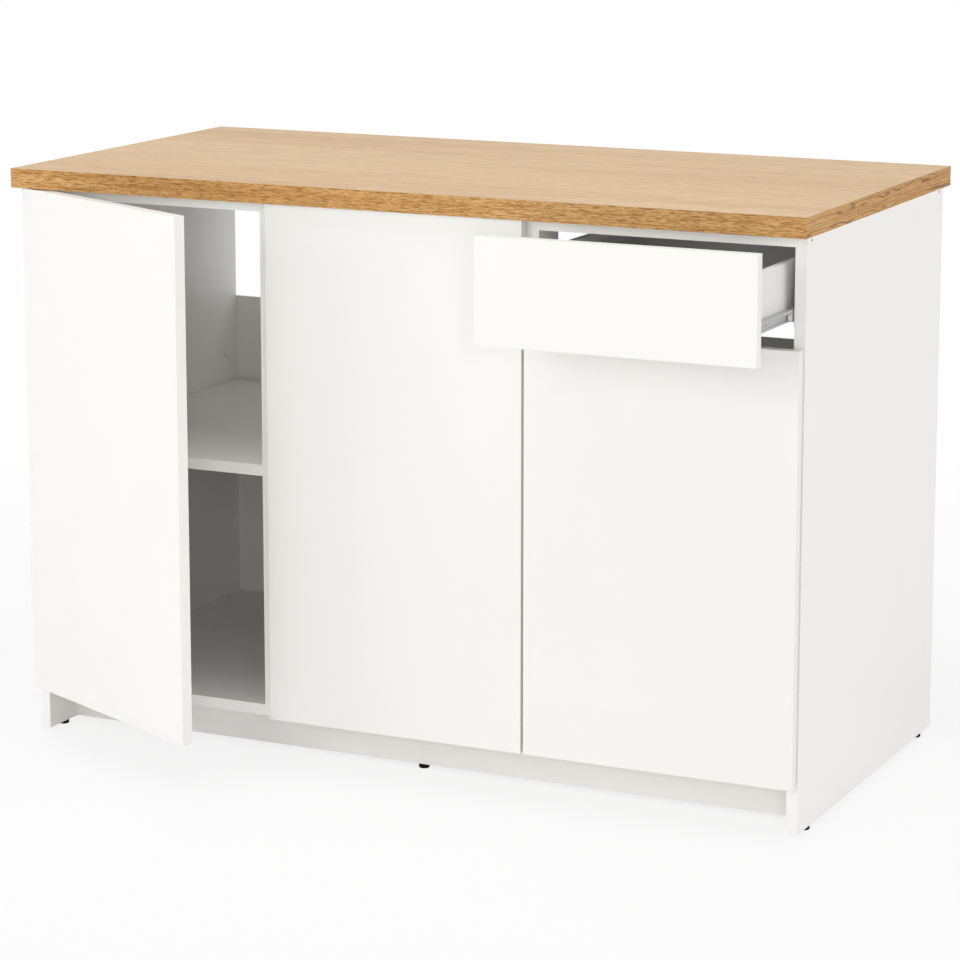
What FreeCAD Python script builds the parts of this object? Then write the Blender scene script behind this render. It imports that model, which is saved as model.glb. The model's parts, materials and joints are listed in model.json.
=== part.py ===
"""Kitchen base cabinet with three doors, one drawer and a worktop, in millimetres.

The origin is on the floor, under the middle of the plinth, at the centre of the middle foot.
X runs to the right, Y to the back and Z up. The left door and the drawer stand open.
"""
import FreeCAD, Part
import Sketcher
import math
import os

doc = FreeCAD.newDocument("base_cabinet")
sheet = doc.addObject("Spreadsheet::Sheet", "dim")
Vector = FreeCAD.Vector
Rotation = FreeCAD.Rotation
Placement = FreeCAD.Placement

DRIVING_SIZES = {
    # carcass and worktop
    "carcass_width": 1200,
    "panel_depth": 577,
    "total_height": 850,
    "board": 16,
    "bays": 3,
    "worktop_thick": 28,
    "worktop_side_overhang": 10,
    "worktop_front_overhang": 30,
    "edge_band": 1,
    "panel_lift": 6,
    "plinth_lift": 7,
    "plinth_setback": 73,
    "bottom_lift": 72,
    "rail_depth": 64,
    "divider_notch": 46,
    "back_thick": 3,
    "back_reveal": 3,
    "back_top": 577,
    "shelf_underside": 425,
    "shelf_setback": 2,
    "shelf_rear_gap": 8,
    "shelf_end_gap": 1,
    "pin_setback": 37,
    "pin_pitch": 64,
    "pin_radius": 2.5,
    "pin_seat": 9,
    "pin_peg": 8,
    "glide_radius": 7.8,
    "glide_setback": 50,
    "glide_rear_setback": 45,
    "glide_edge": 1,
    "nail_radius": 1.25,
    "nail_length": 14,
    # doors and drawer front
    "door_gap": 2,
    "door_seam": 4,
    "door_lift": 73,
    "front_top_gap": 1.5,
    "drawer_front_height": 145.5,
    "left_door_angle": 25.7,
    "drawer_open": 158,
    # concealed hinges, seen from above, from the inner front corner of the board that carries them
    "hinge_inset": 100,
    "cup_radius": 17.5,
    "cup_edge": 3,
    "cup_depth": 12.6,
    "cup_wall": 0.5,
    "cup_flange": 1.1,
    "cup_wing": 31,
    "cup_wing_width": 14,
    "cup_screw_spread": 48,
    "cup_screw_offset": 9.5,
    "cup_slot": 16,
    "cup_pin_seat": 2,
    "inner_arm_pivot_across": 24.75,
    "inner_arm_pivot_back": 3.47,
    "outer_arm_pivot_across": 18.47,
    "outer_arm_pivot_front": 10.3,
    "inner_cup_pivot_side": 7.8,
    "inner_cup_pivot_depth": 2.18,
    "outer_cup_pivot_side": 6.25,
    "outer_cup_pivot_depth": 7.46,
    "outer_link_length": 19.16,
    "inner_link_share": 0.364,
    "outer_link_share": 0.317,
    "hinge_pin_radius": 1.1,
    "hinge_eye_radius": 2.5,
    "free_eye_radius": 3.3,
    "free_eye_bore": 2.45,
    "link_width": 3.8,
    "outer_link_thick": 6,
    "inner_link_thick": 1.8,
    "link_gap": 0.6,
    "arm_wall": 1.4,
    "arm_top": 12,
    "arm_foot": 3,
    "arm_rear": 58,
    "plate_thick": 2,
    "plate_half_height": 26,
    "plate_front": 24,
    "plate_rear": 50,
    "plate_screw_setback": 37,
    "plate_screw_spread": 32,
    "arm_screw_setback": 46,
    "adjusting_screw_setback": 32,
    # drawer and runners, measured inwards from the board that carries the runner
    "side_clearance": 12.5,
    "sheet_steel": 1.2,
    "drawer_length": 496,
    "drawer_side_height": 80,
    "drawer_rim": 10,
    "drawer_rim_lip": 11,
    "drawer_rim_radius": 2.3,
    "drawer_ledge": 13.5,
    "drawer_side_rise": 30,
    "drawer_floor_thick": 12,
    "drawer_floor_gap": 0.4,
    "drawer_back_height": 65,
    "drawer_rail_height": 18.5,
    "drawer_rail_flange": 10.5,
    "drawer_rail_lip": 2.5,
    "drawer_rail_hem": 3.5,
    "drawer_rail_hem_thick": 0.6,
    "drawer_rail_hole_radius": 2.25,
    "drawer_rail_hole_setback": 82,
    "drawer_tab": 26,
    "runner_front": 2,
    "runner_length": 500,
    "runner_drop": 6,
    "runner_height": 28,
    "runner_flange": 9.5,
    "runner_tab": 30,
    "roller_inset": 3.6,
    "roller_width": 6.4,
    "roller_recess": 1,
    "roller_rim": 2,
    "front_roller_radius": 8.5,
    "front_roller_setback": 10,
    "roller_clear": 0.3,
    "axle_radius": 2,
    "axle_head": 0.8,
    "bracket_thick": 1.5,
    "bracket_reach": 17,
    "bracket_leg": 40,
    "bracket_height": 44,
    "bracket_lift": 3,
    # fasteners and fits
    "screw_radius": 1.9,
    "screw_head_radius": 3.8,
    "screw_head": 2.4,
    "screw_tip": 4,
    "cross_length": 4,
    "cross_width": 1,
    "socket_across": 3.2,
    "drive_depth": 1.8,
    "fit": 0.05,
    "panel_screw_length": 48,
    "panel_screw_setback": 18,
    "short_screw_length": 13,
    "dowel_radius": 4,
    "dowel_length": 30,
    "dowel_seat": 9,
    "back_nail_radius": 0.9,
    "back_nail_head": 2,
    "back_nail_head_thick": 0.8,
    "back_nail_length": 17,
}


class Size:
    """A length that knows its number and the sheet formula it comes from."""

    def __init__(self, value, formula):
        self.value = float(value)
        self.formula = formula

    def __add__(self, other):
        other = as_size(other)
        return Size(self.value + other.value, f"({self.formula} + {other.formula})")

    def __sub__(self, other):
        other = as_size(other)
        return Size(self.value - other.value, f"({self.formula} - {other.formula})")

    def __mul__(self, other):
        other = as_size(other)
        return Size(self.value * other.value, f"({self.formula} * {other.formula})")

    def __truediv__(self, other):
        other = as_size(other)
        return Size(self.value / other.value, f"({self.formula} / {other.formula})")

    def __neg__(self):
        return Size(-self.value, f"(0 - {self.formula})")

    def __radd__(self, other):
        return as_size(other) + self

    def __rsub__(self, other):
        return as_size(other) - self

    def __rmul__(self, other):
        return as_size(other) * self


def as_size(number):
    if isinstance(number, Size):
        return number
    return Size(number, f"({number})")


class Sizes:
    """The driving sizes, each read back from its cell in the sheet."""

    def __init__(self):
        for row, (name, number) in enumerate(DRIVING_SIZES.items(), start=1):
            sheet.set(f"A{row}", name)
            sheet.set(f"B{row}", str(number))
            sheet.setAlias(f"B{row}", name)
        doc.recompute()
        for name in DRIVING_SIZES:
            setattr(self, name, Size(sheet.get(name), f"dim.{name}"))


d = Sizes()
nodes = []

TURNS = {
    "x": Rotation(Vector(0, 1, 0), 90),
    "-x": Rotation(Vector(0, 1, 0), -90),
    "y": Rotation(Vector(1, 0, 0), -90),
    "-y": Rotation(Vector(1, 0, 0), 90),
    "z": Rotation(),
    "-z": Rotation(Vector(1, 0, 0), 180),
}
STEPS = {
    "x": (1, 0, 0),
    "-x": (-1, 0, 0),
    "y": (0, 1, 0),
    "-y": (0, -1, 0),
    "z": (0, 0, 1),
    "-z": (0, 0, -1),
}


def bind(obj, **formulas):
    for name, size in formulas.items():
        obj.setExpression(name, as_size(size).formula)


def put(obj, point):
    for name, size in zip("xyz", point):
        obj.setExpression(f"Placement.Base.{name}", as_size(size).formula)


def block(name, x, y, z):
    """A box between two limits on each axis, in either order."""
    obj = doc.addObject("Part::Box", name)
    spans = [sorted((as_size(a), as_size(b)), key=lambda size: size.value) for a, b in (x, y, z)]
    for side, (low, high) in zip(("Length", "Width", "Height"), spans):
        obj.setExpression(side, (high - low).formula)
    put(obj, [low for low, high in spans])
    return obj


def rod(name, point, axis, radius, length):
    """A round bar from a point along one axis."""
    obj = doc.addObject("Part::Cylinder", name)
    bind(obj, Radius=radius, Height=length)
    obj.Placement = Placement(Vector(), TURNS[axis])
    put(obj, point)
    return obj


def along(point, axis, distance):
    return [as_size(p) + distance * step for p, step in zip(point, STEPS[axis])]


def fused(name, solids):
    if len(solids) == 1:
        return solids[0]
    obj = doc.addObject("Part::MultiFuse", name)
    obj.Shapes = solids
    return obj


def cut(name, base, cutters):
    if not cutters:
        return base
    obj = doc.addObject("Part::Cut", name)
    obj.Base = base
    obj.Tool = fused(name + "_cutters", cutters)
    return obj


def node(label, obj):
    """Keep an object as a sub-part under the label that names its file."""
    obj.Label = label
    nodes.append(obj)
    return obj


def group(label, solids):
    obj = doc.addObject("Part::Compound", label)
    obj.Links = solids
    return node(label, obj)


def copy_at(name, master, placement):
    obj = doc.addObject("App::Link", name)
    obj.LinkedObject = master
    obj.LinkTransform = True
    obj.Placement = placement
    return obj


def screw_hole(name, point, axis, length):
    """The countersunk hole for a screw, with its clearance all round."""
    head = doc.addObject("Part::Cone", name + "_head")
    bind(head, Radius1=d.screw_head_radius + fit, Radius2=d.screw_radius + fit, Height=d.screw_head)
    head.Placement = Placement(Vector(), TURNS[axis])
    put(head, point)
    shank = rod(name + "_shank", point, axis, d.screw_radius + fit, length + 2 * fit)
    return fused(name, [head, shank])


def sketch_on(body, name, role):
    sketch = body.newObject("Sketcher::SketchObject", name)
    plane = [feature for feature in body.Origin.OriginFeatures if feature.Role == role][0]
    sketch.AttachmentSupport = (plane, [""])
    sketch.MapMode = "FlatFace"
    return sketch


def pin_point(sketch, index, corner, x, y):
    for kind, size in (("DistanceX", x), ("DistanceY", y)):
        number = sketch.addConstraint(Sketcher.Constraint(kind, -1, 1, index, corner, size.value))
        sketch.setExpression(f"Constraints[{number}]", size.formula)


def polygon(body, name, role, points):
    """A closed outline of straight lines, each corner held by two sizes."""
    sketch = sketch_on(body, name, role)
    points = [(as_size(x), as_size(y)) for x, y in points]
    corners = [Vector(x.value, y.value, 0) for x, y in points]
    count = len(points)
    for index in range(count):
        sketch.addGeometry(Part.LineSegment(corners[index], corners[(index + 1) % count]), False)
    for index in range(count):
        sketch.addConstraint(Sketcher.Constraint("Coincident", index, 2, (index + 1) % count, 1))
    for index, (x, y) in enumerate(points):
        pin_point(sketch, index, 1, x, y)
    return sketch


def circles(body, name, role, rounds):
    """Circles given as centre and radius."""
    sketch = sketch_on(body, name, role)
    for index, (x, y, radius) in enumerate(rounds):
        x, y, radius = as_size(x), as_size(y), as_size(radius)
        centre = Vector(x.value, y.value, 0)
        sketch.addGeometry(Part.Circle(centre, Vector(0, 0, 1), radius.value), False)
        pin_point(sketch, index, 3, x, y)
        number = sketch.addConstraint(Sketcher.Constraint("Radius", index, radius.value))
        sketch.setExpression(f"Constraints[{number}]", radius.formula)
    return sketch


def pad(body, name, sketch, length, midplane=False, reverse=False):
    feature = body.newObject("PartDesign::Pad", name)
    feature.Profile = sketch
    feature.Midplane = midplane
    feature.Reversed = reverse
    bind(feature, Length=length)
    return feature


def pocket(body, name, sketch, length, midplane=False, reverse=False):
    feature = body.newObject("PartDesign::Pocket", name)
    feature.Profile = sketch
    feature.Midplane = midplane
    feature.Reversed = reverse
    bind(feature, Length=length)
    return feature


def lathe(name, profile):
    """A turned piece about Z, from an outline of radius and height."""
    body = doc.addObject("PartDesign::Body", name)
    sketch = polygon(body, name + "_profile", "XZ_Plane", profile)
    turn = body.newObject("PartDesign::Revolution", name + "_turn")
    turn.Profile = sketch
    turn.ReferenceAxis = (sketch, ["V_Axis"])
    turn.Angle = 360
    return body


# screws

def cross_outline():
    """The cross that a screwdriver fits, one arm after the other."""
    arm = d.cross_length / 2
    half = d.cross_width / 2
    quarter = [(arm, half), (half, half), (half, arm)]
    points = []
    for _ in range(4):
        points += quarter
        quarter = [(-y, x) for x, y in quarter]
    return points


def socket_outline():
    """The hexagon that a key fits."""
    radius = d.socket_across / math.sqrt(3)
    turns = [math.radians(60 * corner) for corner in range(6)]
    return [(radius * round(math.cos(turn), 6), radius * round(math.sin(turn), 6)) for turn in turns]


DRIVES = {"cross": cross_outline, "socket": socket_outline}
screw_masters = {}


def screw_master(length, drive):
    """A countersunk screw that points up from its head, made once for each length and drive."""
    length = as_size(length)
    key = (length.formula, drive)
    if key not in screw_masters:
        name = f"{drive}_screw_{len(screw_masters)}"
        profile = [
            (0, 0),
            (d.screw_head_radius, 0),
            (d.screw_radius, d.screw_head),
            (d.screw_radius, length - d.screw_tip),
            (0, length),
        ]
        body = lathe(name, profile)
        sketch = polygon(body, name + "_recess", "XY_Plane", DRIVES[drive]())
        pocket(body, name + "_drive", sketch, d.drive_depth, reverse=True)
        screw_masters[key] = body
    return screw_masters[key]


def screw(name, point, axis, length, drive="cross"):
    """A screw whose head is flush at the point."""
    spot = Vector(*[as_size(size).value for size in point])
    return copy_at(name, screw_master(length, drive), Placement(spot, TURNS[axis]))


# shared places, worked out from the driving sizes

half_width = d.carcass_width / 2
inner_x = half_width - d.board
front_y = -(d.plinth_setback + d.board / 2)
rear_y = front_y + d.panel_depth
carcass_top = d.total_height - d.worktop_thick
rail_under = carcass_top - d.board
floor_top = d.bottom_lift + d.board
bay_pitch = d.carcass_width / d.bays
seam_x = half_width - bay_pitch
door_back = front_y - d.door_gap
door_front = door_back - d.board
front_top = carcass_top - d.front_top_gap
drawer_bottom = front_top - d.drawer_front_height
right_door_top = drawer_bottom - d.door_seam
cup_centre = d.cup_edge + d.cup_radius - (d.board - d.door_seam / 2)
hinge_low = d.door_lift + d.hinge_inset
hinge_high = front_top - d.hinge_inset
right_hinge_high = right_door_top - d.hinge_inset
fit = d.fit

# cutters are collected for each board as the pieces that need them are made
holes = {}


def drill(board_name, cutter):
    holes.setdefault(board_name, []).append(cutter)


def drive_screw(name, point, axis, length, boards, drive="cross"):
    """A screw, and its hole in each board that it passes."""
    for board_name in boards:
        drill(board_name, screw_hole(f"{name}_in_{board_name}", point, axis, length))
    return screw(name, point, axis, length, drive)


def make_fasteners():
    """Screws, dowels and nails of the carcass."""
    rail_z = rail_under + d.board / 2
    rail_mid = d.rail_depth / 2
    setback = d.panel_screw_setback
    length = d.panel_screw_length
    rail_screws = []
    for side, axis in (("left", "x"), ("right", "-x")):
        x = -half_width if side == "left" else half_width
        for rail, y in (("front", front_y + setback), ("rear", rear_y - setback)):
            boards = [f"side_panel_{side}", f"{rail}_rail"]
            name = f"{side}_{rail}_screw"
            rail_screws.append(drive_screw(name, (x, y, rail_z), axis, length, boards, "socket"))
    group("rail_screws", rail_screws)

    worktop_screws = []
    for rail, y in (("front", front_y + rail_mid), ("rear", rear_y - rail_mid)):
        for number, x in enumerate((-bay_pitch, as_size(0), bay_pitch)):
            length = d.board + d.worktop_thick / 2
            name = f"worktop_{rail}_screw_{number}"
            boards = [f"{rail}_rail", "worktop_core"]
            worktop_screws.append(drive_screw(name, (x, y, rail_under), "z", length, boards))
    group("worktop_screws", worktop_screws)

    floor_screws = []
    joint_screws = []
    for side, sign in (("left", -1), ("right", 1)):
        for place, offset in (("outer", 1), ("inner", -1)):
            x = sign * (seam_x + offset * d.board / 2)
            for end, y in (("front", front_y + d.pin_setback), ("rear", rear_y - d.pin_setback)):
                name = f"divider_{side}_{place}_{end}_screw"
                boards = ["bottom_panel", f"divider_{side}_{place}"]
                point = (x, y, d.bottom_lift)
                floor_screws.append(drive_screw(name, point, "z", d.panel_screw_length, boards, "socket"))
        start = sign * (seam_x + d.board)
        for level, z in (("low", floor_top + d.hinge_inset), ("high", d.back_top)):
            boards = [f"divider_{side}_outer", f"divider_{side}_inner"]
            point = (start, front_y + d.panel_depth / 2, z)
            axis = "-x" if sign > 0 else "x"
            name = f"divider_{side}_{level}_joint_screw"
            joint_screws.append(drive_screw(name, point, axis, 2 * d.board - d.screw_head, boards))
    group("divider_screws", floor_screws + joint_screws)

    dowels = []
    plinth_y = front_y + d.plinth_setback + d.board / 2
    plinth_z = (d.plinth_lift + d.bottom_lift) / 2
    floor_z = d.bottom_lift + d.board / 2
    for side, sign, axis in (("left", -1, "x"), ("right", 1, "-x")):
        start = sign * (inner_x + d.dowel_seat)
        spots = (
            ("bottom_panel", front_y + d.pin_setback, floor_z),
            ("bottom_panel", rear_y - d.pin_setback, floor_z),
            ("plinth_board", plinth_y, plinth_z),
        )
        for number, (board_name, y, z) in enumerate(spots):
            for target in (board_name, f"side_panel_{side}"):
                name = f"dowel_hole_{side}_{number}_{target}"
                hole_start = along((start, y, z), axis, -fit)
                drill(target, rod(name, hole_start, axis, d.dowel_radius + fit, d.dowel_length + 2 * fit))
            dowels.append(rod(f"dowel_{side}_{number}", (start, y, z), axis, d.dowel_radius, d.dowel_length))
    group("dowels", dowels)


def make_back_nails():
    """Nails that hold the back panel to the rear edges of the boards."""
    nails = []
    upright_boards = {
        "side_panel_left": -half_width + d.board / 2,
        "divider_left_outer": -seam_x - d.board / 2,
        "divider_right_outer": seam_x + d.board / 2,
        "side_panel_right": half_width - d.board / 2,
    }
    low = d.bottom_lift + d.board / 2
    levels = (low + d.hinge_inset, (low + d.back_top) / 2, d.back_top - d.hinge_inset / 2)
    spots = [(name, x, z) for name, x in upright_boards.items() for z in levels]
    spots += [("bottom_panel", x, low) for x in (-bay_pitch, as_size(0), bay_pitch)]
    face = rear_y + d.back_thick
    for number, (board_name, x, z) in enumerate(spots):
        point = (x, face, z)
        head = rod(f"nail_head_{number}", point, "y", d.back_nail_head, d.back_nail_head_thick)
        shank = rod(f"nail_shank_{number}", point, "-y", d.back_nail_radius, d.back_nail_length)
        nails.append(fused(f"back_nail_{number}", [head, shank]))
        for target in ("back_panel", board_name):
            name = f"nail_hole_{number}_{target}"
            length = d.back_nail_length + fit
            drill(target, rod(name, point, "-y", d.back_nail_radius + fit, length))
    group("back_nails", nails)


def make_shelf():
    """The shelf of the left bay, its four pins and the spare holes above them."""
    left = -inner_x
    right = -(seam_x + d.board)
    x = (left + d.shelf_end_gap, right - d.shelf_end_gap)
    y = (front_y + d.shelf_setback, rear_y - d.shelf_rear_gap)
    z = (d.shelf_underside, d.shelf_underside + d.board)
    node("shelf", block("shelf_board", x, y, z))
    pins = []
    pin_z = d.shelf_underside - d.pin_radius
    spots = (("side_panel_left", left, "x", "-x"), ("divider_left_outer", right, "-x", "x"))
    for board_name, face, inwards, outwards in spots:
        for end, pin_y in (("front", front_y + d.pin_setback), ("rear", rear_y - d.pin_setback)):
            name = f"{board_name}_{end}_pin"
            point = (face, pin_y, pin_z)
            seat = rod(name + "_seat", point, outwards, d.pin_radius, d.pin_seat)
            peg = rod(name + "_peg", point, inwards, d.pin_radius, d.pin_peg)
            pins.append(fused(name, [seat, peg]))
            for step in (0, 1):
                spot = (face, pin_y, pin_z + step * d.pin_pitch)
                hole = rod(f"{name}_hole_{step}", spot, outwards, d.pin_radius + fit, d.pin_seat + fit)
                drill(board_name, hole)
    group("shelf_pins", pins)


def make_glides():
    """Nailed floor glides, four under the side panels and a taller one under the plinth."""
    masters = {}
    for kind, height in (("panel", d.panel_lift), ("plinth", d.plinth_lift)):
        profile = [
            (0, 0),
            (d.glide_radius - d.glide_edge, 0),
            (d.glide_radius, d.glide_edge),
            (d.glide_radius, height),
            (d.nail_radius, height),
            (d.nail_radius, height + d.nail_length),
            (0, height + d.nail_length),
        ]
        masters[kind] = lathe(f"{kind}_glide", profile)
    spots = [("plinth", "plinth_board", as_size(0), as_size(0), d.plinth_lift)]
    for side, sign in (("left", -1), ("right", 1)):
        for y in (front_y + d.glide_setback, rear_y - d.glide_rear_setback):
            spots.append(("panel", f"side_panel_{side}", sign * (half_width - d.board / 2), y, d.panel_lift))
    glides = []
    for number, (kind, board_name, x, y, lift) in enumerate(spots):
        spot = Placement(Vector(x.value, y.value, 0), Rotation())
        glides.append(copy_at(f"glide_{number}", masters[kind], spot))
        hole = rod(f"glide_hole_{number}", (x, y, lift), "z", d.nail_radius + fit, d.nail_length + fit)
        drill(board_name, hole)
    group("floor_glides", glides)


def make_carcass():
    """The boards, each drilled for what it carries."""
    uprights = (d.panel_lift, carcass_top)
    depth = (front_y, rear_y)
    boards = {
        "side_panel_left": ((-half_width, -inner_x), depth, uprights),
        "side_panel_right": ((inner_x, half_width), depth, uprights),
        "bottom_panel": ((-inner_x, inner_x), depth, (d.bottom_lift, floor_top)),
        "front_rail": ((-inner_x, inner_x), (front_y, front_y + d.rail_depth), (rail_under, carcass_top)),
        "rear_rail": ((-inner_x, inner_x), (rear_y - d.rail_depth, rear_y), (rail_under, carcass_top)),
    }
    plinth_front = front_y + d.plinth_setback
    boards["plinth_board"] = (
        (-inner_x, inner_x), (plinth_front, plinth_front + d.board), (d.plinth_lift, d.bottom_lift))
    back_x = half_width - d.back_reveal
    boards["back_panel"] = (
        (-back_x, back_x), (rear_y, rear_y + d.back_thick), (d.bottom_lift + d.back_reveal, d.back_top))
    for side, sign in (("left", -1), ("right", 1)):
        spans = {"outer": (seam_x, seam_x + d.board), "inner": (seam_x - d.board, seam_x)}
        for place, (low, high) in spans.items():
            boards[f"divider_{side}_{place}"] = ((sign * low, sign * high), depth, (floor_top, rail_under))
    for name, (x, y, z) in boards.items():
        cutters = holes.get(name, [])
        if name.startswith("divider"):
            notch_y = (front_y + d.rail_depth, rear_y - d.rail_depth)
            # open at the top, between the two posts that carry the rails
            cutters.append(block(name + "_notch", x, notch_y, (rail_under - d.divider_notch, rail_under)))
        node(name, cut(name + "_drilled", block(name + "_board", x, y, z), cutters))


def make_worktop():
    """The core board and the bands round its four edges."""
    half = half_width + d.worktop_side_overhang
    near = front_y - d.worktop_front_overhang
    far = rear_y + d.back_thick
    z = (carcass_top, d.total_height)
    core_x = (-half + d.edge_band, half - d.edge_band)
    core_y = (near + d.edge_band, far - d.edge_band)
    core = block("worktop_board", core_x, core_y, z)
    node("worktop_core", cut("worktop_drilled", core, holes.get("worktop_core", [])))
    bands = [
        block("front_band", (-half, half), (near, near + d.edge_band), z),
        block("rear_band", (-half, half), (far - d.edge_band, far), z),
        block("left_band", (-half, -half + d.edge_band), core_y, z),
        block("right_band", (half - d.edge_band, half), core_y, z),
    ]
    group("worktop_edge_bands", bands)


# concealed hinges

def turned(point, degrees):
    """A point turned clockwise, as seen from above, about the origin."""
    return Rotation(Vector(0, 0, 1), -degrees).multVec(point)


def pivot_points():
    """The four pivots of a hinge at the closed door, in the hinge's own frame."""
    back = -d.door_gap.value
    centre = cup_centre.value
    return {
        "inner_arm": Vector(d.inner_arm_pivot_across.value, d.inner_arm_pivot_back.value, 0),
        "outer_arm": Vector(d.outer_arm_pivot_across.value, -d.outer_arm_pivot_front.value, 0),
        "inner_cup": Vector(centre - d.inner_cup_pivot_side.value, back - d.inner_cup_pivot_depth.value, 0),
        "outer_cup": Vector(centre - d.outer_cup_pivot_side.value, back - d.outer_cup_pivot_depth.value, 0),
    }


PIVOTS = pivot_points()


def door_swing(angle):
    """Where the hinge carries the door from its closed place, in the hinge's own frame."""
    arm = PIVOTS["inner_arm"]
    cup = PIVOTS["inner_cup"]
    moved = arm + turned(cup - arm, -d.inner_link_share.value * angle)
    return Placement(moved - turned(cup, angle), Rotation(Vector(0, 0, 1), -angle))


def inner_link_place(angle):
    """The inner link lies from the arm towards the cup."""
    reach = PIVOTS["inner_cup"] - PIVOTS["inner_arm"]
    heading = math.degrees(math.atan2(reach.y, reach.x)) + d.inner_link_share.value * angle
    return Placement(PIVOTS["inner_arm"], Rotation(Vector(0, 0, 1), heading))


def outer_link_place(angle):
    """The outer link lies straight across at the closed door."""
    heading = 180 + d.outer_link_share.value * angle
    return Placement(PIVOTS["outer_arm"], Rotation(Vector(0, 0, 1), heading))


def link_plate(name, length, low, high, far_radius, far_bore):
    """A flat link with an eye at each end, the first at the origin."""
    thick = high - low
    near_eye = rod(name + "_near_eye", (0, 0, low), "z", d.hinge_eye_radius, thick)
    far_eye = rod(name + "_far_eye", (length, 0, low), "z", far_radius, thick)
    bar = block(name + "_bar", (0, length), (-d.link_width / 2, d.link_width / 2), (low, high))
    near_bore = rod(name + "_near_bore", (0, 0, low), "z", d.hinge_pin_radius + fit, thick)
    far_bore = rod(name + "_far_bore", (length, 0, low), "z", far_bore, thick)
    return cut(name, fused(name + "_blank", [near_eye, far_eye, bar]), [near_bore, far_bore])


outer_half = d.outer_link_thick / 2
inner_low = outer_half + d.link_gap
inner_high = inner_low + d.inner_link_thick
arm_low = inner_high + d.link_gap
arm_high = arm_low + d.arm_wall


ARM_SCREWS = {"fixing": d.arm_screw_setback, "adjusting": d.adjusting_screw_setback}
# how far the arm stands clear of its eyes, in eye radii
SHOULDER, NECK, THROAT, BEYOND = 0.7, 1.3, 1.6, 4


def make_hinge_masters():
    """One set of hinge pieces, in the frame of a hinge at the closed door."""
    masters = {}
    arm_pin = PIVOTS["inner_arm"]
    reach = (PIVOTS["inner_cup"] - arm_pin).Length
    across = d.inner_arm_pivot_across - (cup_centre - d.inner_cup_pivot_side)
    deep = d.inner_arm_pivot_back + d.door_gap + d.inner_cup_pivot_depth
    length = Size(reach, f"sqrt({across.formula} ^ 2 + {deep.formula} ^ 2)")
    bore = d.hinge_pin_radius + fit
    upper = link_plate("inner_link_upper", length, inner_low, inner_high, d.hinge_eye_radius, bore)
    lower = link_plate("inner_link_lower", length, -inner_high, -inner_low, d.hinge_eye_radius, bore)
    masters["inner_link"] = [upper, lower]
    outer_link = link_plate(
        "outer_link", d.outer_link_length, -outer_half, outer_half, d.free_eye_radius, d.free_eye_bore)
    masters["outer_link"] = [outer_link]
    masters["plate"] = [make_mounting_plate()]
    masters["arm"] = [make_arm()]
    inner_spot = (d.inner_arm_pivot_across, d.inner_arm_pivot_back, -arm_high)
    outer_spot = (d.outer_arm_pivot_across, -d.outer_arm_pivot_front, -arm_high)
    masters["arm_pins"] = [
        rod("inner_arm_pin", inner_spot, "z", d.hinge_pin_radius, 2 * arm_high),
        rod("outer_arm_pin", outer_spot, "z", d.hinge_pin_radius, 2 * arm_high),
    ]
    masters.update(make_cup())
    return masters


def make_mounting_plate():
    """A plate with two rounded screw wings and the block that the arm sits on."""
    seat = d.arm_top - d.arm_wall
    half = arm_low - d.link_gap
    depth = (d.plate_front, d.plate_rear)
    wing_round = (d.plate_rear - d.plate_front) / 2
    straight = d.plate_half_height - wing_round
    blanks = [
        block("plate_wings", (0, d.plate_thick), depth, (-straight, straight)),
        block("plate_core", (0, seat), depth, (-half, half)),
    ]
    cutters = []
    for sign in (-1, 1):
        centre = (0, d.plate_front + wing_round, sign * straight)
        blanks.append(rod(f"plate_wing_end_{sign + 1}", centre, "x", wing_round, d.plate_thick))
        spot = (d.plate_thick, d.plate_screw_setback, sign * d.plate_screw_spread / 2)
        cutters.append(screw_hole(f"plate_screw_hole_{sign + 1}", spot, "-x", d.short_screw_length))
    for name, setback in ARM_SCREWS.items():
        cutters.append(rod(f"plate_{name}_hole", (seat, setback, 0), "-x", d.screw_radius + fit, seat))
    return cut("mounting_plate", fused("mounting_plate_blank", blanks), cutters)


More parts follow.
